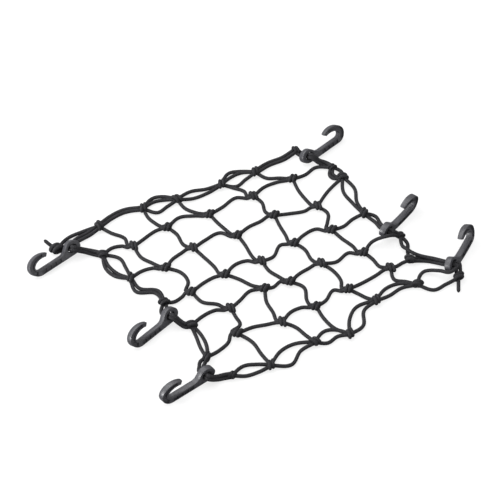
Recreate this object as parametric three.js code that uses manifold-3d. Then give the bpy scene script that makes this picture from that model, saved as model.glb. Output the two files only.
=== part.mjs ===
import * as THREE from "three";
import { mergeVertices } from "three/addons/utils/BufferGeometryUtils.js";
import Module from "manifold-3d";

// Elastic cargo net lying slack on a flat surface, with three hooks on each of two opposite sides.
// Millimetres, +Z up, the floor at Z = 0, X along the rows of the net.
// The tables below are measured from the middle knot of the net.

// Elastic cord: a plain section with a flat side down, just clear of the floor between knots.
const cordWidth = 4.0;
const cordThickness = 3.6;
const cordLift = 0.15;
const cordHeight = cordThickness / 2 + cordLift;
const cordSteps = 4;

// Border strands lie side by side, or pressed together as one pair.
const laneWidth = 4.4;
const pairWidth = 7.4;

// Slack mesh: the way from one knot to the next in its row, and to the next row.
const meshAlong = new THREE.Vector3(47, -8, 0);
const meshAcross = new THREE.Vector3(2, -44, 0);
const meshRows = 5;
const middleRow = 3;
const legLength = 8;
const legSpread = 2.2;

// Tied knots: six sides with a flat side down, two ridges on an inner knot, a plain roll on the border.
const knotSides = 6;
const knotRadius = 4.9;
const innerProfile = [
  { radius: 0.0, along: -6.2 },
  { radius: 4.9, along: -3.0 },
  { radius: 4.1, along: 0.0 },
  { radius: 4.9, along: 3.0 },
  { radius: 0.0, along: 5.8 },
];
const borderProfile = [
  { radius: 0.0, along: -6.4 },
  { radius: 4.9, along: -3.0 },
  { radius: 4.9, along: 3.0 },
  { radius: 0.0, along: 6.4 },
];

// Loose lumps where the border crosses itself without a full knot.
const lumpProfile = [
  { radius: 0.0, along: -5.0 },
  { radius: 4.4, along: -2.6 },
  { radius: 4.4, along: 2.6 },
  { radius: 0.0, along: 5.0 },
];

// Border strands pressed together inside the eye of a hook.
const bundleProfile = [
  { radius: 0.0, along: -7.4 },
  { radius: 5.45, along: -6.0 },
  { radius: 5.45, along: 6.0 },
  { radius: 0.0, along: 7.4 },
];
const bundleFlatness = 0.7;
const eyeStop = 5;
const eyeGate = 9;
const eyeSlope = 0.7;

// Moulded hook: a strap curled over at one end, with a closed eye at the other, all in one plane.
const hookWidth = 7.2;
const hookReach = 57.8;
const hookHeight = 23.2;
const eyeLength = 11;
const eyeHeight = 16.4;
const eyeFoot = 16;
const eyeShoulder = 6.5;
const holeLength = 5.9;
const holeHeight = 4.3;
const holeMiddle = 8;
const shankThickness = 6.4;
const bendThickness = 7.0;
const bendLength = 12.4;
const armLength = 16.6;
const armTurn = THREE.MathUtils.degToRad(135);
const armSlope = new THREE.Vector2(7.5, 2.3);
const mouthTop = 17.6;
const tipThickness = 3.9;
const hookChamfer = 0.8;
const hookSegments = 7;

const cordMaterial = new THREE.MeshStandardMaterial({ color: 0x2b2b2d, roughness: 0.9, metalness: 0 });
const hookMaterial = new THREE.MeshStandardMaterial({ color: 0x4a4b4e, roughness: 0.45, metalness: 0 });

const wasm = await Module();
wasm.setup();

function named(columns) {
  return (row) => Object.fromEntries(columns.map((column, index) => [column, row[index]]));
}

// Inner knots. Shift is how far a knot lies off its even place.
// Bows are how far the cords to the next column and the next row swing to the left of their way,
// at one third and at two thirds of it.
const innerKnots = [
  [1, 1, -3, 3, 3, 5, -6, -4],
  [1, 2, -3, 10, 10, 6, 1, -4],
  [1, 3, 0, 4, 4, 9, -2, -3],
  [1, 4, 10, 3, 7, 6, 2, -4],
  [1, 5, 16, 4, 2, 8, -4, -5],
  [2, 1, 5, -1, 5, 5, 9, 7],
  [2, 2, 0, 11, 8, 12, 0, -1],
  [2, 3, 4, 3, 4, 3, -1, -4],
  [2, 4, 9, 9, -1, -2, -2, -3],
  [2, 5, 10, -3, 3, 3, 6, 1],
  [3, 1, 5, -3, 4, 5, -6, -1],
  [3, 2, 3, 2, 9, 9, 1, -1],
  [3, 3, 0, 0, -1, 8, -4, -3],
  [3, 4, -1, 6, 8, 10, 2, -3],
  [3, 5, -2, 3, -2, 1, -1, -1],
  [4, 1, 23, -4, 4, 8, 3, 5],
  [4, 2, 23, 3, 0, 5, -5, -4],
  [4, 3, 5, 1, 4, 4, 8, 1],
  [4, 4, 2, 8, -2, 6, 4, 2],
  [4, 5, 3, -1, 6, 2, -3, -8],
  [5, 1, 6, 8, 4, 3, 5, 2],
  [5, 2, 7, -2, 8, 8, 4, 2],
  [5, 3, 3, 0, 2, 9, -5, -6],
  [5, 4, 0, 5, 0, 1, 0, -1],
  [5, 5, 10, 7, 0, 1, -10, -4],
].map(named(["row", "column", "shiftX", "shiftY", "alongNear", "alongFar", "acrossNear", "acrossFar"]));

// Knots and lumps of the border, with the bows of the cord to the nearest inner knot on the two sides
// where that cord starts at the border.
const borderKnots = [
  ["back1", "knot", -115, 156, 1, 4],
  ["back2", "knot", -59, 147, -5, -5],
  ["back3", "knot", -20, 134, -6, -5],
  ["back4", "knot", 35, 121, 2, 3],
  ["back5", "knot", 78, 112, -5, -1],
  ["backCorner", "lump", 138, 110],
  ["right1", "lump", 154, 62],
  ["right2", "knot", 154, 42],
  ["right3", "knot", 137, -16],
  ["right4", "lump", 145, -66],
  ["right5", "knot", 133, -101],
  ["front5", "knot", 116, -133],
  ["front4", "knot", 65, -122],
  ["front3", "knot", 12, -140],
  ["front2", "knot", -25, -125],
  ["front1", "knot", -82, -120],
  ["frontCorner", "lump", -123, -105],
  ["left5", "knot", -130, -69, -2, -1],
  ["left4", "knot", -117, -24, 6, 7],
  ["left3", "knot", -122, 20, -3, 0],
  ["left2", "knot", -131, 71, 6, 6],
  ["left1", "knot", -136, 118, 7, 6],
].map(named(["name", "kind", "x", "y", "linkNear", "linkFar"]));

// Tied-off ends of the border cord, each with a short tail.
const tiedEnds = [
  ["backTie", -173.5, 156, 112, 15.5],
  ["frontTie", 156.8, -152, -125, 18],
].map(named(["name", "x", "y", "tailAngle", "tailLength"]));

// Hooks: where the back of the eye lies, which way the hook points and how far it leans to its left.
const hooks = [
  ["hook_left_back", -160.4, 140.6, 183.8, -35],
  ["hook_left_middle", -130.2, -4.2, 188, -27],
  ["hook_left_front", -147.2, -90.2, 179.5, -12],
  ["hook_right_back", 141, 86.6, 5.2, 30],
  ["hook_right_middle", 138.8, -55.1, 13.8, 5],
  ["hook_right_front", 163.5, -140.9, 24.3, 24],
].map(named(["name", "x", "y", "heading", "lean"]));

// Strands of the border, most of them in pairs. The lane sets a strand beside its neighbour.
const borderStrands = [
  ["backTie", "back1", 7, 5, 1],
  ["hook_left_back", "back1", 1, -2, -1],
  ["back1", "back2", 6.5, 7.5, 0, 2],
  ["back2", "back3", 12, 11, 1],
  ["back2", "back3", 6, 5, 0],
  ["back2", "back3", -10, -5, -1],
  ["back3", "back4", 5, 1, 1],
  ["back3", "back4", -5, -4, -1],
  ["back4", "back5", 13, 10, 1],
  ["back4", "back5", 6, 7, 0],
  ["back4", "back5", -9, -4, -1],
  ["back5", "backCorner", 2, -1, 0, 2],
  ["backCorner", "hook_right_back", 0, 0, 0],
  ["hook_right_back", "right1", 1, 3, 0, 2],
  ["right1", "right2", -3, -4, -1],
  ["right1", "right2", 6, 4, 1],
  ["right2", "right3", -8, -5, -1],
  ["right2", "right3", 6, 2, 1],
  ["right3", "hook_right_middle", 5, 4, 0, 2],
  ["hook_right_middle", "right4", 0, 0, 0],
  ["right4", "right5", 1, 0, -1],
  ["right4", "right5", 5, 4, 1],
  ["right5", "hook_right_front", 4, 4.5, 0, 2],
  ["hook_right_front", "front5", -5, -11, -1],
  ["hook_right_front", "frontTie", 0, 0, 0],
  ["frontTie", "front5", 9, 10, 1],
  ["front5", "front4", -11, -11, -1],
  ["front5", "front4", -2, 1, 1],
  ["front4", "front3", -13, -11, -1],
  ["front4", "front3", -5, 5, 1],
  ["front3", "front2", -10, -11, -1],
  ["front3", "front2", -3, 2, 1],
  ["front2", "front1", -10, -10, -1],
  ["front2", "front1", 0, 10, 1],
  ["front1", "frontCorner", -6, -8, -1],
  ["front1", "frontCorner", 3, 4, 1],
  ["frontCorner", "hook_left_front", -2, -1, 0, 2],
  ["hook_left_front", "left5", 4, 3, 1],
  ["hook_left_front", "left5", -1, -1, -1],
  ["left5", "left4", 1, 0, 1],
  ["left5", "left4", -6, -6, -1],
  ["left4", "hook_left_middle", 1, 1, 0, 2],
  ["hook_left_middle", "left3", 3, 2, 1],
  ["hook_left_middle", "left3", -2, -2, -1],
  ["left3", "left2", -1, 8, 1],
  ["left3", "left2", -4, 2, -1],
  ["left2", "left1", 8, 8, 1],
  ["left2", "left1", -7, -11, -1],
  ["left1", "hook_left_back", -3, -3, 0, 2],
  ["hook_left_back", "backTie", 0, 0, 0],
].map(named(["from", "to", "near", "far", "lane", "strands"]));

// A closed three.js geometry as a solid for joining.
function solidOf(geometry) {
  geometry.deleteAttribute("normal");
  geometry.deleteAttribute("uv");
  const merged = mergeVertices(geometry, 1e-4);
  return new wasm.Manifold(new wasm.Mesh({
    numProp: 3,
    vertProperties: new Float32Array(merged.attributes.position.array),
    triVerts: new Uint32Array(merged.index.array),
  }));
}

function geometryOf(solid) {
  const mesh = solid.getMesh();
  const geometry = new THREE.BufferGeometry();
  geometry.setAttribute("position", new THREE.BufferAttribute(mesh.vertProperties, 3));
  geometry.setIndex(new THREE.BufferAttribute(mesh.triVerts, 1));
  geometry.computeVertexNormals();
  return geometry;
}

// The centre line of a cord. It never dips into the floor, and its section stays upright all along.
class CordLine extends THREE.CatmullRomCurve3 {
  getPoint(share, target = new THREE.Vector3()) {
    super.getPoint(share, target);
    target.z = Math.max(target.z, cordHeight);
    return target;
  }

  computeFrenetFrames(steps) {
    const frames = { tangents: [], normals: [], binormals: [] };
    const up = new THREE.Vector3(0, 0, 1);
    for (let step = 0; step <= steps; step += 1) {
      const tangent = this.getTangentAt(step / steps);
      const side = new THREE.Vector3().crossVectors(up, tangent).normalize();
      frames.tangents.push(tangent);
      frames.normals.push(side);
      frames.binormals.push(new THREE.Vector3().crossVectors(tangent, side));
    }
    return frames;
  }
}

function strand(points, width = cordWidth, steps = cordSteps) {
  const section = new THREE.Shape();
  section.moveTo(-width / 2, -cordThickness / 2);
  section.lineTo(width / 2, -cordThickness / 2);
  section.lineTo(width / 2, cordThickness / 2);
  section.lineTo(-width / 2, cordThickness / 2);
  const line = new CordLine(points, false, "centripetal");
  return solidOf(new THREE.ExtrudeGeometry(section, { steps, extrudePath: line, bevelEnabled: false }));
}

// A turned body lying on its side, its axis at an angle to X, with a flat side down.
function turnedBody(profile, centre, angle) {
  const outline = profile.map((point) => new THREE.Vector2(point.radius, point.along));
  const geometry = new THREE.LatheGeometry(outline, knotSides);
  geometry.rotateY(Math.PI / knotSides);
  geometry.rotateZ(-Math.PI / 2);
  geometry.rotateZ(angle);
  geometry.translate(centre.x, centre.y, centre.z);
  return solidOf(geometry);
}

function floorPoint(x, y) {
  return new THREE.Vector3(x, y, cordHeight);
}

function leftOf(way) {
  return new THREE.Vector3(-way.y, way.x, 0).normalize();
}

// Points at one third and two thirds of the way between two places, swung to the left by the bows.
function bowedPoints(start, end, near, far) {
  const way = new THREE.Vector3().subVectors(end, start);
  const left = leftOf(way);
  return [[1 / 3, near], [2 / 3, far]].map(([share, bow]) => (
    start.clone().addScaledVector(way, share).addScaledVector(left, bow)
  ));
}

function innerPlace(row, column) {
  const knot = innerKnots.find((entry) => entry.row === row && entry.column === column);
  return floorPoint(knot.shiftX, knot.shiftY)
    .addScaledVector(meshAlong, column - middleRow)
    .addScaledVector(meshAcross, row - middleRow);
}

const borderPlaces = new Map(
  [...borderKnots, ...tiedEnds].map((entry) => [entry.name, floorPoint(entry.x, entry.y)]),
);

// Where a hook stands: its own X along the shank, its own Z across the J.
function hookFrame(hook) {
  const lean = THREE.MathUtils.degToRad(hook.lean);
  const lift = (hookWidth / 2 - hookChamfer) * Math.abs(Math.sin(lean));
  return new THREE.Matrix4()
    .makeTranslation(hook.x, hook.y, lift)
    .multiply(new THREE.Matrix4().makeRotationZ(THREE.MathUtils.degToRad(hook.heading)))
    .multiply(new THREE.Matrix4().makeRotationX(-lean));
}

// The middle of a hook's eye and the way along its hole, which is the Y axis of the eye's own frame.
function hookEye(hook) {
  const frame = hookFrame(hook).multiply(new THREE.Matrix4().makeTranslation(0, 0, holeMiddle));
  return {
    frame,
    middle: new THREE.Vector3().applyMatrix4(frame),
    axis: new THREE.Vector3(0, 1, 0).transformDirection(frame),
  };
}

const eyes = new Map(hooks.map((hook) => [hook.name, hookEye(hook)]));

function placeOf(name) {
  return eyes.has(name) ? eyes.get(name).middle : borderPlaces.get(name);
}

// The end of a strand: at a knot, or beside its neighbours in the bundle that fills an eye.
// The first point is the end itself, the last one is where the free run begins.
function strandEnd(name, other, lane) {
  if (!eyes.has(name)) {
    const place = borderPlaces.get(name);
    const left = leftOf(new THREE.Vector3().subVectors(other, place));
    return [place.clone().addScaledVector(left, (lane * laneWidth) / 2)];
  }
  const { middle, axis } = eyes.get(name);
  const out = axis.clone().multiplyScalar(other.clone().sub(middle).dot(axis) < 0 ? -1 : 1);
  const side = leftOf(out).multiplyScalar((lane * laneWidth) / 2);
  return [eyeStop, eyeGate].map((along) => middle.clone().add(side).addScaledVector(out, along));
}

// A border strand sinks from an eye to the floor no steeper than the slope of a slack cord.
function borderStrand({ from, to, near, far, lane, strands }) {
  const first = strandEnd(from, placeOf(to), lane);
  const last = strandEnd(to, placeOf(from), -lane);
  const start = first.at(-1);
  const end = last.at(-1);
  const run = bowedPoints(start, end, near, far);
  for (const point of run) {
    const sunk = (knee) => knee.z - eyeSlope * point.distanceTo(knee);
    point.z = Math.max(cordHeight, sunk(start), sunk(end));
  }
  const steps = cordSteps + first.length + last.length - 2;
  return strand([...first, ...run, ...last.reverse()], strands === 2 ? pairWidth : cordWidth, steps);
}

// A mesh cord leaves one knot and comes to the next beside its neighbour, along that knot's axis.
function meshCord(start, end, near, far, arrival) {
  const points = [start, ...bowedPoints(start, end, near, far)];
  if (arrival) {
    const side = leftOf(arrival.axis).multiplyScalar(arrival.side * legSpread);
    points.push(end.clone().addScaledVector(arrival.axis, -legLength).add(side));
  }
  points.push(end);
  return strand(points);
}

// Rows and columns beyond the inner knots end on the border.
function meshPlace(row, column) {
  if (row === 0) return borderPlaces.get(`back${column}`);
  if (row > meshRows) return borderPlaces.get(`front${column}`);
  if (column === 0) return borderPlaces.get(`left${row}`);
  if (column > meshRows) return borderPlaces.get(`right${row}`);
  return innerPlace(row, column);
}

function knotAxis(row, column) {
  return new THREE.Vector3()
    .add(meshPlace(row, column + 1))
    .sub(meshPlace(row, column - 1))
    .add(meshPlace(row + 1, column))
    .sub(meshPlace(row - 1, column))
    .normalize();
}

function angleOf(way) {
  return Math.atan2(way.y, way.x);
}

function netSolid() {
  const knotCentre = knotRadius * Math.cos(Math.PI / knotSides);
  const pieces = [];
  const addTurned = (profile, place, angle) => {
    pieces.push(turnedBody(profile, new THREE.Vector3(place.x, place.y, knotCentre), angle));
  };

  for (const knot of innerKnots) {
    const { row, column } = knot;
    const place = innerPlace(row, column);
    addTurned(innerProfile, place, angleOf(knotAxis(row, column)));
    const arrivalAt = (nextRow, nextColumn, side) => (
      nextRow > meshRows || nextColumn > meshRows ? null : { axis: knotAxis(nextRow, nextColumn), side }
    );
    const along = arrivalAt(row, column + 1, -1);
    const across = arrivalAt(row + 1, column, 1);
    pieces.push(meshCord(place, meshPlace(row, column + 1), knot.alongNear, knot.alongFar, along));
    pieces.push(meshCord(place, meshPlace(row + 1, column), knot.acrossNear, knot.acrossFar, across));
  }

  borderKnots.forEach((knot, index) => {
    const place = borderPlaces.get(knot.name);
    const before = borderKnots.at(index - 1);
    const after = borderKnots[(index + 1) % borderKnots.length];
    const angle = Math.atan2(after.y - before.y, after.x - before.x);
    addTurned(knot.kind === "knot" ? borderProfile : lumpProfile, place, angle);
    const number = Number(knot.name.at(-1));
    if (knot.linkNear !== undefined) {
      const onBack = knot.name.startsWith("back");
      const [row, column] = onBack ? [1, number] : [number, 1];
      const arrival = { axis: knotAxis(row, column), side: onBack ? 1 : -1 };
      pieces.push(meshCord(place, innerPlace(row, column), knot.linkNear, knot.linkFar, arrival));
    }
  });

  for (const end of tiedEnds) {
    const place = borderPlaces.get(end.name);
    const angle = THREE.MathUtils.degToRad(end.tailAngle);
    const tail = new THREE.Vector3(Math.cos(angle), Math.sin(angle), 0);
    addTurned(borderProfile, place, angle);
    pieces.push(strand([place, place.clone().addScaledVector(tail, end.tailLength)], cordWidth, 1));
  }

  for (const { frame } of eyes.values()) {
    const bundle = turnedBody(bundleProfile, new THREE.Vector3(), Math.PI / 2);
    const pressed = frame.clone().scale(new THREE.Vector3(1, 1, bundleFlatness));
    pieces.push(bundle.transform(pressed.elements));
  }

  pieces.push(...borderStrands.map(borderStrand));
  return pieces.reduce((joined, piece) => joined.add(piece));
}

// The outline of a hook in its own plane: round the bend, over the arm to the tip, back along the inside,
// then round the eye.
function hookShape() {
  const quarter = Math.PI / 2;
  const middle = hookHeight / 2;
  const bendStart = hookReach - bendLength;
  const armStart = hookReach - armLength;
  const mouthEnd = hookReach - bendThickness;
  const tip = new THREE.Vector2(armLength * Math.cos(armTurn), middle * Math.sin(armTurn));
  const outward = new THREE.Vector2(tip.x / armLength ** 2, tip.y / middle ** 2).normalize();
  tip.add(new THREE.Vector2(armStart, middle));
  const tipInside = tip.clone().addScaledVector(outward, -tipThickness);
  const armPull = tipInside.clone().add(armSlope);
  const shape = new THREE.Shape();
  shape.absellipse(bendStart, middle, bendLength, middle, -quarter, 0, false);
  shape.absellipse(armStart, middle, armLength, middle, 0, armTurn, false);
  shape.lineTo(tipInside.x, tipInside.y);
  shape.bezierCurveTo(armPull.x, armPull.y, mouthEnd, mouthTop, mouthEnd, middle);
  shape.absellipse(bendStart, middle, mouthEnd - bendStart, middle - shankThickness, 0, -quarter, true);
  shape.lineTo(eyeFoot, shankThickness);
  shape.bezierCurveTo(eyeFoot - eyeShoulder, shankThickness, eyeShoulder, eyeHeight, 0, eyeHeight);
  shape.absellipse(0, eyeHeight / 2, eyeLength, eyeHeight / 2, quarter, 3 * quarter, false);
  const hole = new THREE.Path();
  hole.absellipse(0, holeMiddle, holeLength, holeHeight, 0, 2 * Math.PI, true);
  shape.holes.push(hole);
  return shape;
}

function hookGeometry() {
  const geometry = new THREE.ExtrudeGeometry(hookShape(), {
    depth: hookWidth - 2 * hookChamfer,
    curveSegments: hookSegments,
    bevelThickness: hookChamfer,
    bevelSize: hookChamfer,
    bevelOffset: -hookChamfer,
    bevelSegments: 1,
  });
  geometry.translate(0, 0, -(hookWidth - 2 * hookChamfer) / 2);
  geometry.rotateX(Math.PI / 2);
  return geometry;
}

const cargoNet = new THREE.Group();

const net = new THREE.Mesh(geometryOf(netSolid()), cordMaterial);
net.name = "net";
cargoNet.add(net);

for (const hook of hooks) {
  const mesh = new THREE.Mesh(hookGeometry(), hookMaterial);
  mesh.name = hook.name;
  mesh.applyMatrix4(hookFrame(hook));
  cargoNet.add(mesh);
}

// Centre the whole net on the floor.
const extent = new THREE.Box3().setFromObject(cargoNet, true);
const centre = extent.getCenter(new THREE.Vector3());
cargoNet.position.set(-centre.x, -centre.y, -extent.min.z);

export default cargoNet;
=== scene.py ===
import math
import bpy
import bmesh
from mathutils import Matrix, Vector
from mathutils.geometry import interpolate_bezier


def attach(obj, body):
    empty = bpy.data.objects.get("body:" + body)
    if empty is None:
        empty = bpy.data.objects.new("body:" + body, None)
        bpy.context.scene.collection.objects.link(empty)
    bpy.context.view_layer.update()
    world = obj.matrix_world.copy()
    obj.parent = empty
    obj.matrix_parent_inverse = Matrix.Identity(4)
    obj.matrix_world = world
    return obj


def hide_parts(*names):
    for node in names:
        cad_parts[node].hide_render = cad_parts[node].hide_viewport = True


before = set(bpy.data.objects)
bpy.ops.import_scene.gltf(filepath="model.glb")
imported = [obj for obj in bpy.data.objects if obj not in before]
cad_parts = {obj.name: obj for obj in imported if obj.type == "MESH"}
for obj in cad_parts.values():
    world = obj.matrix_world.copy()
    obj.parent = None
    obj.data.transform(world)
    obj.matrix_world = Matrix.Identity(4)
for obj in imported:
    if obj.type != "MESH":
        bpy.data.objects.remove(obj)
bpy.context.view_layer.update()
print("frame loaded:", ", ".join(sorted(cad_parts)))

mm = 0.001
frameShift = Vector((1.6135, -1.6143, 0.0))  # from the middle knot of the tables to the frame's origin


# camera

camera = {
    "aim": Vector((1.4, 23.8, 0.0)),  # on the floor, from the middle knot
    "azimuth": -38.0,
    "elevation": 50.0,
    "distance": 2045.45,
    "lens": 129.6,
    "sensor": 36.0,
    "clipEnd": 50.0,
}


def cameraBack():
    turn = math.radians(camera["azimuth"])
    rise = math.radians(camera["elevation"])
    return Vector((math.sin(turn) * math.cos(rise), -math.cos(turn) * math.cos(rise), math.sin(rise)))


def addCamera():
    data = bpy.data.cameras.new("photoCamera")
    data.lens = camera["lens"]
    data.sensor_width = camera["sensor"]
    data.clip_end = camera["clipEnd"]
    holder = bpy.data.objects.new("photoCamera", data)
    bpy.context.scene.collection.objects.link(holder)
    holder.location = (camera["aim"] + frameShift + cameraBack() * camera["distance"]) * mm
    holder.rotation_euler = cameraBack().to_track_quat("Z", "Y").to_euler()
    bpy.context.scene.camera = holder


addCamera()
print("camera placed")


# node helpers

def addNode(tree, kind, values=None, links=None, **settings):
    node = tree.nodes.new(kind)
    for key, value in settings.items():
        setattr(node, key, value)
    for key, value in (values or {}).items():
        node.inputs[key].default_value = value
    for key, source in (links or {}).items():
        tree.links.new(source, node.inputs[key])
    return node


def mathNode(tree, operation, first, second=None):
    node = addNode(tree, "ShaderNodeMath", operation=operation)
    for socket, value in zip(node.inputs, (first, second)):
        if value is None:
            continue
        if isinstance(value, (int, float)):
            socket.default_value = value
        else:
            tree.links.new(value, socket)
    return node.outputs[0]


def newGroup(name, inputs, outputs):
    tree = bpy.data.node_groups.new(name, "ShaderNodeTree")
    for label, kind, value in inputs:
        socket = tree.interface.new_socket(name=label, in_out="INPUT", socket_type=kind)
        if value is not None:
            socket.default_value = value
    for label, kind in outputs:
        tree.interface.new_socket(name=label, in_out="OUTPUT", socket_type=kind)
    return tree, tree.nodes.new("NodeGroupInput").outputs, tree.nodes.new("NodeGroupOutput").inputs


def newMaterial(name):
    material = bpy.data.materials.new(name)
    material.use_nodes = True
    tree = material.node_tree
    return material, tree, tree.nodes["Principled BSDF"]


# the braided sheath: two families of yarns that cross over and under round the cord, with painted shade in
# the grooves between the yarns and painted highlight specks on their crowns

sheath = {
    "yarns": 8.0,  # round the cord, in each family
    "yarnStep": 1.5,  # millimetres along the cord
    "crownPower": 0.6,  # below 1 the yarns lie flatter
    # painted shade: this near-black colour fills the grooves between the yarns, mixed in by the braid's crown
    # height
    "gapShadeColour": (0.0045, 0.0045, 0.005, 1.0),
    "yarnColour": (0.026, 0.0257, 0.029, 1.0),
    # painted highlight: lighter specks on the yarn crowns, placed by a fine noise
    "glintColour": (0.10, 0.10, 0.108, 1.0),
    "glintScale": 900.0,
    "glintDetail": 2.0,
    "glintRange": (0.56, 0.74),
    # coarser noise that breaks the painted highlight specks into patches
    "glintPatchScale": 28.0,
    "glintPatchDetail": 3.0,
    "roughness": 0.82,
    "specular": 0.25,
    "bump": 0.00016,
}


def braidGroup():
    tree, given, out = newGroup(
        "braidedSheath",
        [("Along mm", "NodeSocketFloat", 0.0), ("Around", "NodeSocketFloat", 0.0),
         ("Yarns", "NodeSocketFloat", sheath["yarns"]),
         ("Yarn step mm", "NodeSocketFloat", sheath["yarnStep"])],
        [("Crown", "NodeSocketFloat"), ("Family", "NodeSocketFloat")],
    )
    turns = mathNode(tree, "MULTIPLY", given["Around"], given["Yarns"])
    run = mathNode(tree, "DIVIDE", given["Along mm"], given["Yarn step mm"])
    rising = mathNode(tree, "ADD", turns, run)
    falling = mathNode(tree, "SUBTRACT", turns, run)
    cells = mathNode(tree, "ADD", mathNode(tree, "FLOOR", rising), mathNode(tree, "FLOOR", falling))
    family = mathNode(tree, "PINGPONG", cells, 1.0)
    risingCrown = mathNode(tree, "PINGPONG", rising, 0.5)
    fallingCrown = mathNode(tree, "PINGPONG", falling, 0.5)
    upper = mathNode(tree, "MULTIPLY", risingCrown, family)
    lower = mathNode(tree, "MULTIPLY", fallingCrown, mathNode(tree, "SUBTRACT", 1.0, family))
    crown = mathNode(tree, "MULTIPLY", mathNode(tree, "ADD", upper, lower), 2.0)
    tree.links.new(mathNode(tree, "POWER", crown, sheath["crownPower"]), out["Crown"])
    tree.links.new(family, out["Family"])
    return tree


def cordMaterial():
    material, tree, shader = newMaterial("braidedCord")
    uv = addNode(tree, "ShaderNodeUVMap", uv_map="UVMap").outputs[0]
    parts = addNode(tree, "ShaderNodeSeparateXYZ", links={0: uv}).outputs
    braid = addNode(tree, "ShaderNodeGroup", node_tree=bpy.data.node_groups["braidedSheath"])
    tree.links.new(parts["X"], braid.inputs["Along mm"])
    tree.links.new(parts["Y"], braid.inputs["Around"])
    place = addNode(tree, "ShaderNodeTexCoord").outputs["Object"]
    glint, glintPatch = (
        addNode(tree, "ShaderNodeTexNoise",
                {"Scale": sheath[kind + "Scale"], "Detail": sheath[kind + "Detail"]}, {"Vector": place})
        for kind in ("glint", "glintPatch"))
    # painted shade in the braid: base colour runs from the near-black gap colour in the grooves to the yarn
    # colour on the crowns
    shadedYarn = addNode(tree, "ShaderNodeMix", data_type="RGBA")
    shadedYarn.inputs[6].default_value = sheath["gapShadeColour"]
    shadedYarn.inputs[7].default_value = sheath["yarnColour"]
    tree.links.new(braid.outputs["Crown"], shadedYarn.inputs[0])
    # painted highlight: lighter specks, masked by a fine noise, the braid's crown height and a coarser noise,
    # mixed over the yarn colour
    least, most = sheath["glintRange"]
    glintMask = addNode(tree, "ShaderNodeMapRange", {1: least, 2: most}, {0: glint.outputs["Fac"]}).outputs[0]
    glintMask = mathNode(tree, "MULTIPLY", glintMask, braid.outputs["Crown"])
    glintMask = mathNode(tree, "MULTIPLY", glintMask, glintPatch.outputs["Fac"])
    tint = addNode(tree, "ShaderNodeMix", data_type="RGBA")
    tree.links.new(glintMask, tint.inputs[0])
    tree.links.new(shadedYarn.outputs[2], tint.inputs[6])
    tint.inputs[7].default_value = sheath["glintColour"]
    tree.links.new(tint.outputs[2], shader.inputs["Base Color"])
    bump = addNode(tree, "ShaderNodeBump", {"Strength": 1.0, "Distance": sheath["bump"]})
    tree.links.new(braid.outputs["Crown"], bump.inputs["Height"])
    tree.links.new(bump.outputs[0], shader.inputs["Normal"])
    shader.inputs["Roughness"].default_value = sheath["roughness"]
    shader.inputs["Specular IOR Level"].default_value = sheath["specular"]
    return material


# moulded plastic with a fine spark-eroded grain

plastic = {
    "darkColour": (0.023, 0.023, 0.026, 1.0),
    "paleColour": (0.071, 0.071, 0.080, 1.0),
    "speckRange": (0.32, 0.68),
    "roughnessLow": 0.34,
    "roughnessHigh": 0.50,
    "bump": 0.00008,
    "bumpStrength": 0.6,
    "grainScale": 1100.0,
    "grainDetail": 3.0,
    "grainRoughness": 0.6,
    "cloudScale": 120.0,
    "cloudDetail": 4.0,
    "cloudRange": (0.3, 0.7),
}


def grainGroup():
    tree, given, out = newGroup(
        "mouldedGrain",
        [("Place", "NodeSocketVector", None), ("Grain scale", "NodeSocketFloat", plastic["grainScale"])],
        [("Grain", "NodeSocketFloat"), ("Cloud", "NodeSocketFloat")],
    )
    fine = addNode(tree, "ShaderNodeTexNoise",
                   {"Detail": plastic["grainDetail"], "Roughness": plastic["grainRoughness"]})
    tree.links.new(given["Place"], fine.inputs["Vector"])
    tree.links.new(given["Grain scale"], fine.inputs["Scale"])
    cloud = addNode(tree, "ShaderNodeTexNoise",
                    {"Scale": plastic["cloudScale"], "Detail": plastic["cloudDetail"]})
    tree.links.new(given["Place"], cloud.inputs["Vector"])
    tree.links.new(fine.outputs["Fac"], out["Grain"])
    tree.links.new(cloud.outputs["Fac"], out["Cloud"])
    return tree


def hookMaterial():
    material, tree, shader = newMaterial("mouldedPlastic")
    place = addNode(tree, "ShaderNodeTexCoord").outputs["Object"]
    grain = addNode(tree, "ShaderNodeGroup", node_tree=bpy.data.node_groups["mouldedGrain"])
    tree.links.new(place, grain.inputs["Place"])
    tone = addNode(tree, "ShaderNodeMix", data_type="RGBA")
    tone.inputs[6].default_value = plastic["darkColour"]
    tone.inputs[7].default_value = plastic["paleColour"]
    least, most = plastic["speckRange"]
    speck = addNode(tree, "ShaderNodeMapRange", {1: least, 2: most}, {0: grain.outputs["Grain"]})
    tree.links.new(speck.outputs[0], tone.inputs[0])
    tree.links.new(tone.outputs[2], shader.inputs["Base Color"])
    least, most = plastic["cloudRange"]
    rough = addNode(tree, "ShaderNodeMapRange", {1: least, 2: most})
    rough.inputs[3].default_value = plastic["roughnessLow"]
    rough.inputs[4].default_value = plastic["roughnessHigh"]
    tree.links.new(grain.outputs["Cloud"], rough.inputs[0])
    tree.links.new(rough.outputs[0], shader.inputs["Roughness"])
    bump = addNode(tree, "ShaderNodeBump", {"Strength": plastic["bumpStrength"], "Distance": plastic["bump"]})
    tree.links.new(grain.outputs["Grain"], bump.inputs["Height"])
    tree.links.new(bump.outputs[0], shader.inputs["Normal"])
    return material


braidGroup()
grainGroup()
braidedCord = cordMaterial()
mouldedPlastic = hookMaterial()
print("materials made")


# hooks: one strap bent to a J that closes into an eye

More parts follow.
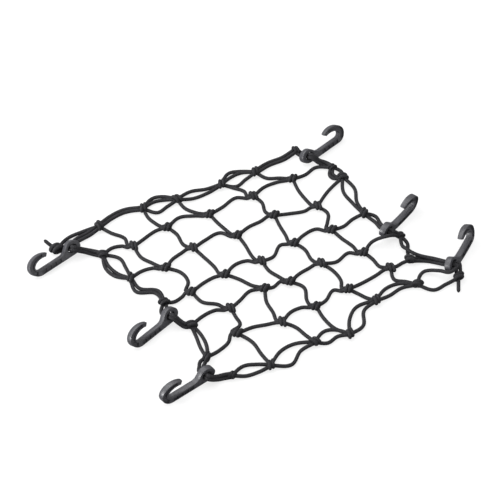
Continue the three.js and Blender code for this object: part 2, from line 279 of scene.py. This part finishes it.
hook = {
    "width": 7.4,
    "sharpAngle": 38,
    "edge": 0.45,
    "edgeShare": (0.3, 0.2),  # at most these shares of the thickness and the width
    "edgeRound": 0.3,
    "outerRim": 0.9,
    "innerRim": 1.7,
    "rimShare": 0.35,  # at most this share of the thickness
    "pocketDepth": 2.3,
    "pocketSlope": 0.15,
    "pocketWall": 0.3,
    "shankPockets": ((44.6, 38.9), (37.7, 32.0), (30.8, 25.1), (23.9, 18.2)),
    "reach": 57.8,
    "height": 23.2,
    "shankThickness": 6.8,
    "bendThickness": 7.4,
    "bendLength": 12.4,
    "armLength": 16.6,
    "armTurn": 135.0,
    "armShares": (0.0, 0.02, 0.1, 0.19, 0.205, 0.28, 0.36, 0.45,  # from the tip
                  0.55, 0.65, 0.75, 0.85, 0.95),
    "armPocket": 0.205,  # share where its pocket starts
    "armThick": 0.75,  # shares where it is as thick as the bend and as wide as the strap
    "armWide": 0.4,
    "armSwell": 0.8,
    "tipThickness": 4.4,
    "tipWidth": 5.8,
    "tipRound": (0.7, 0.8),  # shares of the thickness and width left at the very tip
    "bendTurns": (0, -12, -24, -36, -48, -58, -60, -66, -78, -90),
    "bendPocket": -58,  # where its pocket ends
    "eyeLength": 11.0,
    "eyeHeight": 16.4,
    "eyeFoot": 16.0,
    "eyeShoulder": 6.5,
    "holeLength": 5.9,
    "holeHeight": 4.3,
    "holeMiddle": 8.0,
    "eyeTurns": range(270, 80, -15),
    "floorStart": 9.0,
    "floorSteps": ((5.6, 6.2), (4.4, 5.0), (3.0, 4.2)),  # place and thickness under the hole
    "flankTurns": (78, 65, 50, 34, 18),
    "flankFoot": ((5.6, 7.0), (6.0, 5.6), (7.0, 4.5)),  # inside the shank
    "flankTrim": 0.3,
    "weld": 1e-4,
}

hookPlaces = {  # place under the middle of the eye, heading and lean in degrees, sag of the shank
    "hook_left_back": (-160.4, 140.6, 183.8, -35, 0),
    "hook_left_middle": (-130.2, -4.2, 188, -27, 0),
    "hook_left_front": (-147.2, -90.2, 179.5, -12, 0),
    "hook_right_back": (141, 86.6, 5.2, 30, 0),
    "hook_right_middle": (138.8, -55.1, 13.8, 5, 1.6),
    "hook_right_front": (163.9, -141.2, 24.3, 24, 1.6),
}


def hookFrame(name):
    x, y, heading, lean, _ = hookPlaces[name]
    lean = math.radians(lean)
    lift = (hook["width"] - hook["edge"]) / 2 * abs(math.sin(lean))
    return (Matrix.Translation(Vector((x, y, lift)))
            @ Matrix.Rotation(math.radians(heading), 4, "Z")
            @ Matrix.Rotation(-lean, 4, "X"))


# how far the ends of a sagging shank stand above its middle
def sagRise(name, x):
    half = hook["reach"] / 2
    return hookPlaces[name][4] * min(1.0, abs(x / half - 1)) ** 2


def lerp(first, second, share):
    return first + (second - first) * share


def onOval(centre, length, height, degrees):
    angle = math.radians(degrees)
    return Vector((length * math.cos(angle), 0, centre + height * math.sin(angle)))


# stations along the strap: outer and inner edge in the hook's own plane, width and pocket depth
def hookStations():
    stations = []
    middle = hook["height"] / 2
    depth = hook["pocketDepth"]
    shank = hook["shankThickness"]

    def station(outer, inner, pocket=0.0, width=hook["width"]):
        stations.append((Vector(outer), Vector(inner), width, pocket))

    def curled(degrees, length, thickness, pocket, width=hook["width"]):
        angle = math.radians(degrees)
        out = Vector((math.cos(angle) / length, 0, math.sin(angle) / middle)).normalized()
        outer = onOval(middle, length, middle, degrees) + Vector((hook["reach"] - length, 0, 0))
        station(outer, outer - out * thickness, pocket, width)

    # arm from the tip to the bend, its pocket ending before the tip
    for share in hook["armShares"]:
        swell = min(1.0, share / hook["armThick"]) ** hook["armSwell"]
        thickness = lerp(hook["tipThickness"], hook["bendThickness"], swell)
        width = lerp(hook["tipWidth"], hook["width"], min(1.0, share / hook["armWide"]))
        if share == 0.0:
            thickness, width = thickness * hook["tipRound"][0], width * hook["tipRound"][1]
        pocket = depth if share >= hook["armPocket"] else 0
        curled(hook["armTurn"] * (1 - share), hook["armLength"], thickness, pocket, width)
    # bend, with a rib where it runs out into the shank
    for degrees in hook["bendTurns"]:
        pocket = depth if degrees >= hook["bendPocket"] else 0
        curled(degrees, hook["bendLength"], lerp(hook["bendThickness"], shank, -degrees / 90), pocket)
    # shank, with a row of pockets
    wall = hook["pocketWall"]
    for start, end in hook["shankPockets"]:
        for x, pocket in ((start + wall, 0), (start, depth), (end, depth), (end - wall, 0)):
            station((x, 0, 0), (x, 0, shank), pocket)
    for x, thickness in ((hook["floorStart"], shank), *hook["floorSteps"]):
        station((x, 0, 0), (x, 0, thickness))
    # eye, round its back to the top
    for degrees in hook["eyeTurns"]:
        station(onOval(hook["eyeHeight"] / 2, hook["eyeLength"], hook["eyeHeight"] / 2, degrees),
                onOval(hook["holeMiddle"], hook["holeLength"], hook["holeHeight"], degrees))
    # flank of the eye, down to the shank
    beside = len(hook["flankTurns"])
    flank = interpolate_bezier(
        Vector((0, 0, hook["eyeHeight"])), Vector((hook["eyeShoulder"], 0, hook["eyeHeight"])),
        Vector((hook["eyeFoot"] - hook["eyeShoulder"], 0, shank)), Vector((hook["eyeFoot"], 0, shank)),
        1 + beside + len(hook["flankFoot"]))[1:]
    for outer, degrees in zip(flank[:beside], hook["flankTurns"]):
        station(outer, onOval(hook["holeMiddle"], hook["holeLength"], hook["holeHeight"], degrees))
    for outer, (x, z) in zip(flank[beside:], hook["flankFoot"]):
        station(outer, (x, 0, z), width=hook["width"] - hook["flankTrim"])
    return stations


# the strap's section: flat outside and inside, a pocket between two rims on each side
def hookSection(thickness, width, pocket):
    thickShare, wideShare = hook["edgeShare"]
    edge = min(hook["edge"], thickness * thickShare, width * wideShare)
    edgeCut = edge * hook["edgeRound"]
    half, side = thickness / 2, width / 2
    slope = hook["pocketSlope"] if pocket else 0.0
    right = []
    for sign, rim in ((1, hook["outerRim"]), (-1, hook["innerRim"])):
        rim = min(rim, thickness * hook["rimShare"])
        right.append([(side - edge, sign * half), (side - edgeCut, sign * (half - edgeCut)),
                      (side, sign * (half - edge)), (side, sign * (half - rim)),
                      (side - pocket, sign * (half - rim - slope))])
    right = right[0] + right[1][::-1]
    return right + [(-w, n) for w, n in reversed(right)]


def buildHook():
    shape = bmesh.new()
    ring = None
    face = None
    for outer, inner, width, pocket in hookStations():
        out = (outer - inner).normalized()
        section = hookSection((outer - inner).length, width, pocket)
        corners = [(outer + inner) / 2 + out * n + Vector((0, w, 0)) for w, n in section]
        if ring is None:
            ring = [shape.verts.new(corner) for corner in corners]
            face = shape.faces.new(ring)
            shape.faces.new([shape.verts.new(corner) for corner in reversed(corners)])
        else:
            grown = bmesh.ops.extrude_discrete_faces(shape, faces=[face])["faces"]
            face = grown[0]
            for vert, corner in zip(list(face.verts), corners):
                vert.co = corner
    bmesh.ops.remove_doubles(shape, verts=shape.verts, dist=hook["weld"])
    bmesh.ops.recalc_face_normals(shape, faces=shape.faces)
    return shape


def addPiece(name, shape, material, replaced, sharp=None):
    mesh = bpy.data.meshes.new(name)
    shape.to_mesh(mesh)
    shape.free()
    mesh.shade_smooth()
    if sharp is not None:
        mesh.set_sharp_from_angle(angle=math.radians(sharp))
    mesh.materials.append(material)
    piece = bpy.data.objects.new(name, mesh)
    bpy.context.scene.collection.objects.link(piece)
    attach(piece, "root")
    for node in replaced:
        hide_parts(node)


def toFrame(matrix):
    return Matrix.Diagonal((mm, mm, mm, 1.0)) @ Matrix.Translation(frameShift) @ matrix


hookShape = buildHook()
for name in hookPlaces:
    shape = hookShape.copy()
    for vert in shape.verts:
        vert.co.z += sagRise(name, vert.co.x)
    bmesh.ops.transform(shape, matrix=toFrame(hookFrame(name)), verts=shape.verts)
    addPiece(name.replace("hook", "strapHook"), shape, mouldedPlastic, [name],
             hook["sharpAngle"])
hookShape.free()
print("hooks made")


# net

net = {
    "meshAlong": Vector((47, -8, 0)),
    "meshAcross": Vector((2, -44, 0)),
    "middleRow": 3,
    "meshRows": 5,
    "cordRadius": 2.15,
    "cordSides": 10,
    "cordStep": 1.3,
    "curveBits": 24,  # between two points of a route
    "braidShift": 3.7,  # millimetres between the braids of one cord and the next
    "floorGap": 0.05,
    "legLength": 7.5,  # two cords come to a knot side by side
    "legSpread": 1.7,
    "neckLength": 5.0,  # where they rise into the knot; shares of the spread there and inside
    "neckSpread": 0.95,
    "innerSpread": 0.6,
    "tailBend": 0.6,
    "sealedEnd": (0.45, 0.85, 1.0),  # a cut end, melted round
    "laneWidth": 4.35,  # between strands laid side by side
    "looseLane": 1.3,  # between strands that part at a knot
    "eyeStops": (-1.0, 3.0),  # along the hole, from its middle
    "eyeGate": 8.5,
    "eyeSlope": 0.7,
    "stackHeight": 3.5,
    "stackRise": 2.2,
    "stackDrop": -0.6,
}

knot = {
    "wrapRadius": 2.0,
    "wrapSide": 4.0,  # reach of a wrap to the side and up
    "wrapUp": 2.95,
    "wrapTurns": 1.12,
    "wrapGap": 3.9,
    "wrapSlant": 1.8,
    "wrapLean": 1.2,
    "slantEvery": 3,  # one knot in so many is slanted the other way
    "tuck": 0.14,
    "tuckReach": 0.4,
    "points": 40,
    "dip": 3.4,  # how high the cords stand where they go into a knot
}

innerKnots = [  # row, column, shift off the even place, bows of the cords to the next column and row
    (1, 1, -3, 3, 3, 5, -6, -4), (1, 2, -3, 10, 10, 6, 1, -4), (1, 3, 0, 4, 4, 9, -2, -3),
    (1, 4, 10, 3, 7, 6, 2, -4), (1, 5, 16, 4, 2, 8, -4, -5),
    (2, 1, 5, -1, 5, 5, 9, 7), (2, 2, 0, 11, 8, 12, 0, -1), (2, 3, 4, 3, 4, 3, -1, -4),
    (2, 4, 9, 9, -1, -2, -2, -3), (2, 5, 10, -3, 3, 3, 6.5, 0),
    (3, 1, 5, -3, 4, 5, -6, -1), (3, 2, 3, 2, 9, 9, 1, -1), (3, 3, 0, 0, -1, 8, -4, -3),
    (3, 4, -1, 6, 8, 10, 2, -3), (3, 5, -2, 3, -2, 1, -1, -1),
    (4, 1, 23, -4, 4, 8, 3, 5), (4, 2, 23, 3, 0, 5, -5, -4), (4, 3, 5, 1, 4, 4, 7, -1.5),
    (4, 4, 2, 8, -2, 6, 4, 2), (4, 5, 3, -1, 7.5, 0.2, -1, -5),
    (5, 1, 6, 8, 4, 3, 5, 2), (5, 2, 7, -2, 8, 8, 4, 2), (5, 3, 3, 0, 2, 9, -5, -6),
    (5, 4, 0, 5, 0, 1, 0, -1), (5, 5, 10, 7, 0, 1, -10, -4),
]

borderKnots = {  # place, size, bows of the cord to the nearest inner knot
    "back1": (-115, 156, 1.0, (1, 4)), "back2": (-59, 147, 1.0, (-5, -5)), "back3": (-20, 134, 1.0, (-6, -5)),
    "back4": (35, 121, 1.0, (2, 3)), "back5": (78, 112, 1.0, (-5, -1)), "backCorner": (138, 110, 0.85, None),
    "right1": (154, 62, 0.85, None), "right2": (154, 42, 1.0, None), "right3": (137, -16, 1.0, None),
    "right4": (148, -67, 0.85, None), "right5": (133, -101, 1.0, None), "front5": (116, -133, 1.0, None),
    "front4": (65, -122, 1.0, None), "front3": (12, -140, 1.0, None), "front2": (-25, -125, 1.0, None),
    "front1": (-82, -120, 1.0, None), "frontCorner": (-123, -105, 0.85, None),
    "left5": (-130, -69, 1.0, (-2, -1)), "left4": (-117, -24, 1.0, (6, 7)), "left3": (-122, 20, 1.0, (-3, 0)),
    "left2": (-131, 71, 1.0, (6, 6)), "left1": (-136, 118, 1.0, (7, 6)),
}

tiedEnds = {  # place, size, tail's heading in degrees, its length and how far its end rises
    "backTie": (-173, 156.5, 1.25, 112, 16.5, 9.0),
    "frontTie": (159, -153.7, 1.05, -132, 20, 0.0),
}

borderStrands = [  # from, to, bows at one third and two thirds of the way, lane, strands
    ("backTie", "back1", 7, 5, 1, 1), ("hook_left_back", "back1", 2, 0, 0, 2),
    ("back1", "back2", 6.5, 7.5, 0, 2), ("back2", "back3", 11, 10, 1, 1), ("back2", "back3", 6, 5, 0, 1),
    ("back2", "back3", -10, -5, -1, 1), ("back3", "back4", 5, 1, 1, 1), ("back3", "back4", -5, -4, -1, 1),
    ("back4", "back5", 12, 9, 1, 1), ("back4", "back5", 6, 7, 0, 1), ("back4", "back5", -9, -4, -1, 1),
    ("back5", "backCorner", 2, -1, 0, 2), ("backCorner", "hook_right_back", 0, 0, 0, 2),
    ("hook_right_back", "right1", 1, 3, 0, 3),
    ("right1", "right2", -7, -7, 0, 2), ("right1", "right2", 4, 4, 1, 1),
    ("right2", "right3", -7.5, -4.5, -1, 1), ("right2", "right3", 5.4, -0.5, 1, 1),
    ("right3", "hook_right_middle", 7.7, 6, 1, 1), ("right3", "hook_right_middle", 2.3, 3, -1, 1),
    ("hook_right_middle", "right4", 0, 0, 0, 3),
    ("right4", "right5", 4.8, 1.2, 0, 1), ("right5", "hook_right_front", 4, 4.5, 0, 2),
    ("hook_right_front", "frontTie", 0, 0, 0, 2),
    ("frontTie", "front5", 5, 10, 1, 1),
    ("front5", "front4", -10, -10, -1, 1), ("front5", "front4", -4.5, -1, 1, 1),
    ("front4", "front3", -13, -11, -1, 1), ("front4", "front3", -5, 5, 1, 1),
    ("front3", "front2", -10, -11, -1, 1), ("front3", "front2", -2, 3.5, 1, 1),
    ("front2", "front1", -10, -10, -1, 1), ("front2", "front1", 0, 10, 1, 1),
    ("front1", "frontCorner", -6, -8, -1, 1), ("front1", "frontCorner", 3, 4, 1, 1),
    ("frontCorner", "hook_left_front", -2, -2, 0, 3),
    ("hook_left_front", "left5", 3.5, 4.5, 1, 1), ("hook_left_front", "left5", 0.5, 0.5, -1, 1),
    ("left5", "left4", 1, 0, 1, 1), ("left5", "left4", -4.8, -4.6, -1, 1),
    ("left4", "hook_left_middle", 1, 1, 0, 3),
    ("hook_left_middle", "left3", 3, 2, 1, 1), ("hook_left_middle", "left3", -2, -2, -1, 1),
    ("left3", "left2", -4.5, 8.3, 1, 1), ("left3", "left2", -7.5, 3.7, -1, 1),
    ("left2", "left1", 9.4, 9.4, 1, 1), ("left2", "left1", 5.5, 5.5, 0, 1),
    ("left2", "left1", -6, -10, -1, 1),
    ("left1", "hook_left_back", -3.5, -4.5, 0, 3), ("hook_left_back", "backTie", 0, 0, 0, 2),
]

looseTurns = [  # strands led loose from the eye of a hook: from, points passed, to
    ("hook_right_front", ((165, -144.5, 11.5), (158.8, -147, 12.0), (151, -146, 11.0), (146, -136, 8.0),
                          (136.5, -124.3, 3.5), (128.6, -124, 2.2)), "front5"),
    ("hook_right_front", ((159.3, -130.4, 9.0), (154, -117.6, 5.8), (146, -107, 5.8), (142.5, -100.5, 5.6),
                          (139.6, -93.6, 6.4), (139, -89, 6.5), (139.6, -80, 4.2)), "right4"),
]
raisedCords = {(4, 5): (3.0, 10.4)}  # inner knot whose cord along the row climbs a hook, and how high

cordFloor = net["cordRadius"] + net["floorGap"]
knotHeight = knot["wrapUp"] + knot["wrapRadius"] + net["floorGap"]


def leftOf(way):
    return Vector((-way.y, way.x, 0)).normalized()


def bowedPoints(start, end, near, far):
    way = end - start
    return [start + way * share + leftOf(way) * bow for share, bow in ((1 / 3, near), (2 / 3, far))]


# smooth line through the points, cut to even steps
def smoothRoute(points, step):
    handles = []
    for index, point in enumerate(points):
        before, after = points[max(index - 1, 0)], points[min(index + 1, len(points) - 1)]
        way = (after - before).normalized()
        back = (point - points[index - 1]).length if index else 0.0
        ahead = (points[index + 1] - point).length if index + 1 < len(points) else 0.0
        handles.append((point - way * back / 3, point + way * ahead / 3))
    line = []
    for index in range(len(points) - 1):
        bits = interpolate_bezier(points[index], handles[index][1], handles[index + 1][0], points[index + 1],
                                  net["curveBits"])
        line += bits if not line else bits[1:]
    for point in line:
        point.z = max(point.z, cordFloor)
    lengths = [0.0]
    for first, second in zip(line, line[1:]):
        lengths.append(lengths[-1] + (second - first).length)
    count = max(3, round(lengths[-1] / step))
    even, place = [], 0
    for number in range(count + 1):
        wanted = lengths[-1] * number / count
        while place < len(lengths) - 2 and lengths[place + 1] < wanted:
            place += 1
        gap = lengths[place + 1] - lengths[place]
        share = 0.0 if gap == 0 else (wanted - lengths[place]) / gap
        even.append(line[place].lerp(line[place + 1], min(1.0, share)))
    return even


# a round tube along a route in millimetres; its UV map holds millimetres along and the share around
tubeCount = 0


def addTube(shape, route, radius, sealed=False):
    global tubeCount
    curve = bpy.data.curves.new("route", "CURVE")
    curve.dimensions = "3D"
    curve.bevel_depth = radius * mm
    curve.bevel_resolution = net["cordSides"] // 2 - 2
    curve.use_fill_caps = True
    curve.twist_mode = "MINIMUM"
    spline = curve.splines.new("POLY")
    spline.points.add(len(route) - 1)
    for number, (target, point) in enumerate(zip(spline.points, route)):
        target.co = (*((point + frameShift) * mm), 1.0)
        if sealed:
            fromEnd = len(route) - 1 - number
            target.radius = net["sealedEnd"][min(fromEnd, len(net["sealedEnd"]) - 1)]
    holder = bpy.data.objects.new("route", curve)
    mesh = holder.to_mesh()
    length = sum((second - first).length for first, second in zip(route, route[1:]))
    layer = mesh.uv_layers["UVMap"].data
    for corner in layer:
        corner.uv = (corner.uv.x * length + tubeCount * net["braidShift"], corner.uv.y)
    shape.from_mesh(mesh)
    holder.to_mesh_clear()
    bpy.data.objects.remove(holder)
    bpy.data.curves.remove(curve)
    tubeCount += 1


def innerPlace(row, column):
    entry = next(item for item in innerKnots if item[:2] == (row, column))
    even = net["meshAlong"] * (column - net["middleRow"]) + net["meshAcross"] * (row - net["middleRow"])
    return even + Vector((entry[2], entry[3], 0))


def borderPlace(name):
    x, y = (borderKnots.get(name) or tiedEnds.get(name))[:2]
    return Vector((x, y, 0))


def meshPlace(row, column):
    if row == 0:
        return borderPlace(f"back{column}")
    if row > net["meshRows"]:
        return borderPlace(f"front{column}")
    if column == 0:
        return borderPlace(f"left{row}")
    if column > net["meshRows"]:
        return borderPlace(f"right{row}")
    return innerPlace(row, column)


def knotAxis(row, column):
    way = (meshPlace(row, column + 1) - meshPlace(row, column - 1)
           + meshPlace(row + 1, column) - meshPlace(row - 1, column))
    return way.normalized()


def atHeight(point, height):
    return Vector((point.x, point.y, height))


# a cord leaves one knot and comes to the next beside its neighbour
def arriving(row, column, side):
    place, axis = innerPlace(row, column), knotAxis(row, column)
    left = leftOf(axis) * side * net["legSpread"]
    return [atHeight(place - axis * net["legLength"] + left, cordFloor),
            atHeight(place - axis * net["neckLength"] + left * net["neckSpread"], knot["dip"]),
            atHeight(place + left * net["innerSpread"], knotHeight)]


def meshRoute(start, end, bows, arrival, rises=(0.0, 0.0)):
    run = bowedPoints(start, end, *bows)
    for point, rise in zip(run, rises):
        point.z = cordFloor + rise
    last = arriving(*arrival) if arrival else [atHeight(end, knot["dip"])]
    return smoothRoute([atHeight(start, knot["dip"])] + run + last, net["cordStep"])


def meshRoutes():
    routes = []
    for row, column, _, _, *bothBows in innerKnots:
        for side, nextRow, nextColumn, bows in ((-1, row, column + 1, bothBows[:2]),
                                                (1, row + 1, column, bothBows[2:])):
            inside = max(nextRow, nextColumn) <= net["meshRows"]
            arrival = (nextRow, nextColumn, side) if inside else None
            rises = raisedCords.get((row, column), (0.0, 0.0)) if side < 0 else (0.0, 0.0)
            start, end = innerPlace(row, column), meshPlace(nextRow, nextColumn)
            routes.append(meshRoute(start, end, bows, arrival, rises))
    for name, (*_, bows) in borderKnots.items():
        if bows:
            number = int(name[-1])
            arrival = (1, number, 1) if name.startswith("back") else (number, 1, -1)
            routes.append(meshRoute(borderPlace(name), innerPlace(*arrival[:2]), bows, arrival))
    return routes


# eyes of the hooks: middle of the hole and the way along it
def hookEye(name):
    place = hookFrame(name)
    middle = place @ Vector((0, 0, hook["holeMiddle"] + sagRise(name, 0)))
    return middle, (place.to_3x3() @ Vector((0, 1, 0))).normalized()


eyes = {name: hookEye(name) for name in hookPlaces}


def roughPlace(name):
    return eyes[name][0] if name in eyes else borderPlace(name)


def strandEnd(name, other, side, stacked):
    if name not in eyes:
        place = borderPlace(name)
        return [atHeight(place + leftOf(other - place) * side, knot["dip"] + stacked)]
    middle, axis = eyes[name]
    out = axis if (other - middle).dot(axis) > 0 else -axis
    left = leftOf(out)
    rise = out.cross(left).normalized() * (net["stackRise"] if stacked else net["stackDrop"])
    return [middle + left * side + rise + out * along for along in (*net["eyeStops"], net["eyeGate"])]


# a strand that is stacked lies in the groove on top of its two neighbours
def strandRoute(start, end, near, far, lane, apart, stacked=0.0):
    ends, gates = [], []
    for name, other, sign in ((start, end, 1), (end, start, -1)):
        width = net["laneWidth"] if name in eyes else apart
        ends.append(strandEnd(name, roughPlace(other), sign * lane * width / 2, stacked))
        gates.append(strandEnd(name, roughPlace(other), 0.0, stacked)[-1])
    shift = lane * apart / 2
    run = bowedPoints(*gates, near + shift, far + shift)
    for point in run:
        sunk = [gate.z - net["eyeSlope"] * (point - gate).length for gate in gates]
        point.z = max(cordFloor + stacked, *sunk)
    return smoothRoute(ends[0] + run + ends[1][::-1], net["cordStep"])


def borderRoutes():
    routes = []
    for start, end, near, far, lane, strands in borderStrands:
        if strands == 1:
            routes.append(strandRoute(start, end, near, far, lane, net["looseLane"]))
            continue
        for side in (1, -1):
            routes.append(strandRoute(start, end, near, far, side, net["laneWidth"]))
        if strands == 3:
            routes.append(strandRoute(start, end, near, far, 0, 0.0, net["stackHeight"]))
    for start, passed, end in looseTurns:
        points = [eyes[start][0], *map(Vector, passed), atHeight(borderPlace(end), knot["dip"])]
        routes.append(smoothRoute(points, net["cordStep"]))
    return routes


# one of the two wraps side by side round the cords, its ends tucked under
def wrapRoute(place, angle, size, number, slant):
    points = []
    for index in range(knot["points"] + 1):
        share = index / knot["points"]
        turn = 2 * math.pi * knot["wrapTurns"] * (share - 0.5) + math.pi / 2
        tucked = min(1.0, min(share, 1 - share) / knot["tuck"])
        reach = size * lerp(knot["tuckReach"], 1.0, math.sin(tucked * math.pi / 2))
        side, up = knot["wrapSide"] * reach * math.cos(turn), knot["wrapUp"] * reach * math.sin(turn)
        along = ((number - 0.5) * knot["wrapGap"] + (share - 0.5) * knot["wrapLean"]) * size
        points.append(Vector((along + slant * knot["wrapSlant"] * side / knot["wrapSide"], side, up)))
    lift = (knotHeight - net["floorGap"]) * size + net["floorGap"]
    matrix = Matrix.Translation((place.x, place.y, lift)) @ Matrix.Rotation(angle, 4, "Z")
    return [matrix @ point for point in points]


def angleOf(way):
    return math.atan2(way.y, way.x)


def knotPlaces():
    places = []
    for entry in innerKnots:
        places.append((innerPlace(*entry[:2]), angleOf(knotAxis(*entry[:2])), 1.0))
    names = list(borderKnots)
    for index, name in enumerate(names):
        before, after = names[index - 1], names[(index + 1) % len(names)]
        way = borderPlace(after) - borderPlace(before)
        places.append((borderPlace(name), angleOf(way), borderKnots[name][2]))
    for x, y, size, heading, _, _ in tiedEnds.values():
        places.append((Vector((x, y, 0)), math.radians(heading), size))
    return places


def tailRoute(x, y, heading, length, rise):
    place = Vector((x, y, 0))
    way = Vector((math.cos(math.radians(heading)), math.sin(math.radians(heading)), 0)) * length
    bend = net["tailBend"]
    points = [atHeight(place, knot["dip"]), atHeight(place + way * bend, cordFloor + rise * bend),
              atHeight(place + way, cordFloor + rise)]
    return smoothRoute(points, net["cordStep"])


def addNet():
    meshShape, borderShape, knotShape = bmesh.new(), bmesh.new(), bmesh.new()
    for route in meshRoutes():
        addTube(meshShape, route, net["cordRadius"])
    for route in borderRoutes():
        addTube(borderShape, route, net["cordRadius"])
    for x, y, _, heading, length, rise in tiedEnds.values():
        addTube(borderShape, tailRoute(x, y, heading, length, rise), net["cordRadius"], sealed=True)
    for count, (place, angle, size) in enumerate(knotPlaces()):
        slant = 1 if count % knot["slantEvery"] else -1
        for number in (0, 1):
            addTube(knotShape, wrapRoute(place, angle, size, number, slant), knot["wrapRadius"] * size)
    for name, shape in (("meshCords", meshShape), ("borderCords", borderShape), ("knotWraps", knotShape)):
        addPiece(name, shape, braidedCord, ["net"])


addNet()
print("net made:", tubeCount, "cords")


# floor and light

studio = {
    "white": (1.0, 1.0, 1.0, 1.0),
    "floorSize": 12.0,
    "floorRoughness": (0.7, 0.9),
    "floorCloud": 3.0,
    "floorColour": (0.26, 0.26, 0.26, 1.0),
    "bounceColour": (0.22, 0.22, 0.23, 1.0),  # what the net and the hooks see of the floor
    "floorSpecular": 0.0,
    "floorGlow": 0.72,  # keeps the shadows on the white floor faint
    "backdrop": 1.0,
    "sky": 0.53,
    "lights": {  # way from the net, distance in metres, size, power in watts
        "topLight": ((0.15, 0.25, 1.0), 2.2, (2.6, 2.6), 34.0),
        "backLight": ((-0.20, 0.72, 0.66), 2.0, (2.0, 1.4), 23.0),
        "frontLight": ((-0.15, -0.85, 0.50), 2.2, (1.8, 1.4), 12.0),
        "gleamLight": ((-0.88, 0.36, 0.22), 1.8, (0.3, 0.3), 32.0),
    },
}


def addFloor():
    shape = bmesh.new()
    bmesh.ops.create_grid(shape, x_segments=1, y_segments=1, size=studio["floorSize"] / 2)
    mesh = bpy.data.meshes.new("paleFloor")
    shape.to_mesh(mesh)
    shape.free()
    material, tree, shader = newMaterial("paleFloor")
    place = addNode(tree, "ShaderNodeTexCoord").outputs["Object"]
    cloud = addNode(tree, "ShaderNodeTexNoise", {"Scale": studio["floorCloud"]}, {"Vector": place})
    least, most = studio["floorRoughness"]
    rough = addNode(tree, "ShaderNodeMapRange", {3: least, 4: most}, {0: cloud.outputs["Fac"]})
    tree.links.new(rough.outputs[0], shader.inputs["Roughness"])
    seen = addNode(tree, "ShaderNodeLightPath").outputs["Is Camera Ray"]
    glow = mathNode(tree, "MULTIPLY", seen, studio["floorGlow"])
    tree.links.new(glow, shader.inputs["Emission Strength"])
    shader.inputs["Emission Color"].default_value = studio["white"]
    tint = addNode(tree, "ShaderNodeMix", data_type="RGBA")
    tree.links.new(seen, tint.inputs[0])
    tint.inputs[6].default_value = studio["bounceColour"]
    tint.inputs[7].default_value = studio["floorColour"]
    tree.links.new(tint.outputs[2], shader.inputs["Base Color"])
    shader.inputs["Specular IOR Level"].default_value = studio["floorSpecular"]
    mesh.materials.append(material)
    floor = bpy.data.objects.new("paleFloor", mesh)
    bpy.context.scene.collection.objects.link(floor)


def addWorld():
    world = bpy.data.worlds.new("studioWorld")
    world.use_nodes = True
    tree = world.node_tree
    background = tree.nodes["Background"]
    seen = addNode(tree, "ShaderNodeLightPath").outputs["Is Camera Ray"]
    strength = addNode(tree, "ShaderNodeMapRange", links={0: seen})
    strength.inputs[3].default_value = studio["sky"]
    strength.inputs[4].default_value = studio["backdrop"]
    tree.links.new(strength.outputs[0], background.inputs["Strength"])
    background.inputs["Color"].default_value = studio["white"]
    bpy.context.scene.world = world


def addLights():
    for name, (way, distance, size, power) in studio["lights"].items():
        light = bpy.data.lights.new(name, "AREA")
        light.shape = "RECTANGLE"
        light.size, light.size_y = size
        light.energy = power
        holder = bpy.data.objects.new(name, light)
        bpy.context.scene.collection.objects.link(holder)
        way = Vector(way).normalized()
        holder.location = way * distance
        holder.rotation_euler = way.to_track_quat("Z", "Y").to_euler()


addFloor()
addWorld()
addLights()
bpy.context.scene.view_settings.view_transform = "Standard"
bpy.context.scene.view_settings.look = "None"
print("studio made")
